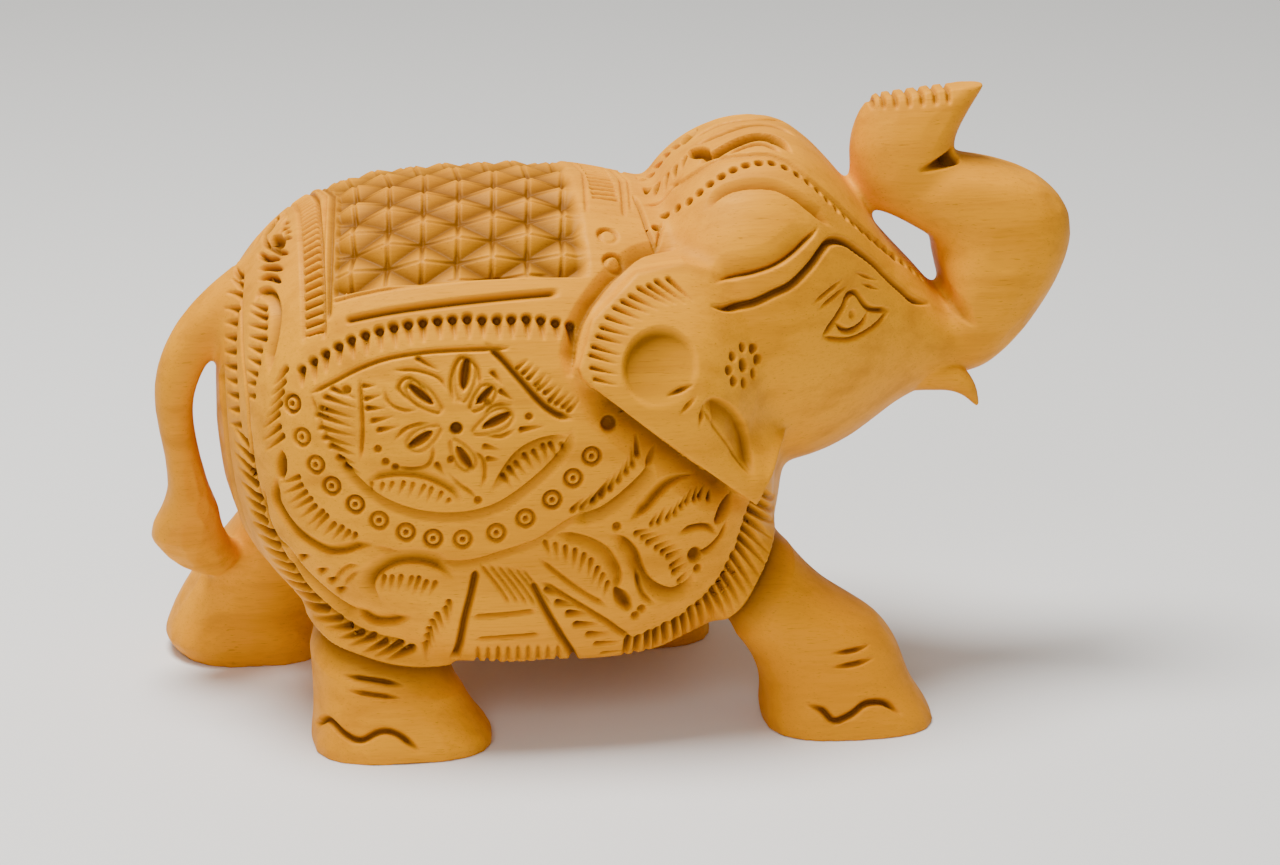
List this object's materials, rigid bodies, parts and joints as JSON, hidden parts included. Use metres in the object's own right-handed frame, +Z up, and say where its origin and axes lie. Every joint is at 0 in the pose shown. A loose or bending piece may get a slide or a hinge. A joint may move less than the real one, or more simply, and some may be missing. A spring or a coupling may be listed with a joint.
{
  "type": "carved wooden elephant figurine",
  "caption": "Walking elephant figurine carved from one block of pale wood, trunk raised and curled back to the forehead, with a patterned saddle cloth over its back.",
  "frame": {"origin": "bottom centre of the figure's bounding box, on the plane of the soles", "axes": "+X the way the elephant walks, +Y its left side, +Z up"},
  "size_m": [0.1539, 0.0784, 0.1012],
  "materials": {
    "wood": "fine-sanded and lightly waxed, satin, honey brown, darker in the cuts"
  },
  "bodies": {
    "root": {"torso": "wood", "saddle_cloth_right": "wood", "saddle_cloth_left": "wood", "saddle_pad": "wood", "head": "wood", "trunk": "wood", "trunk_tip": "wood", "ear_right": "wood", "ear_left": "wood", "tusk_right": "wood", "tusk_left": "wood", "leg_front_right": "wood", "leg_front_left": "wood", "leg_rear_right": "wood", "leg_rear_left": "wood", "tail": "wood"}
  },
  "joints": []
}
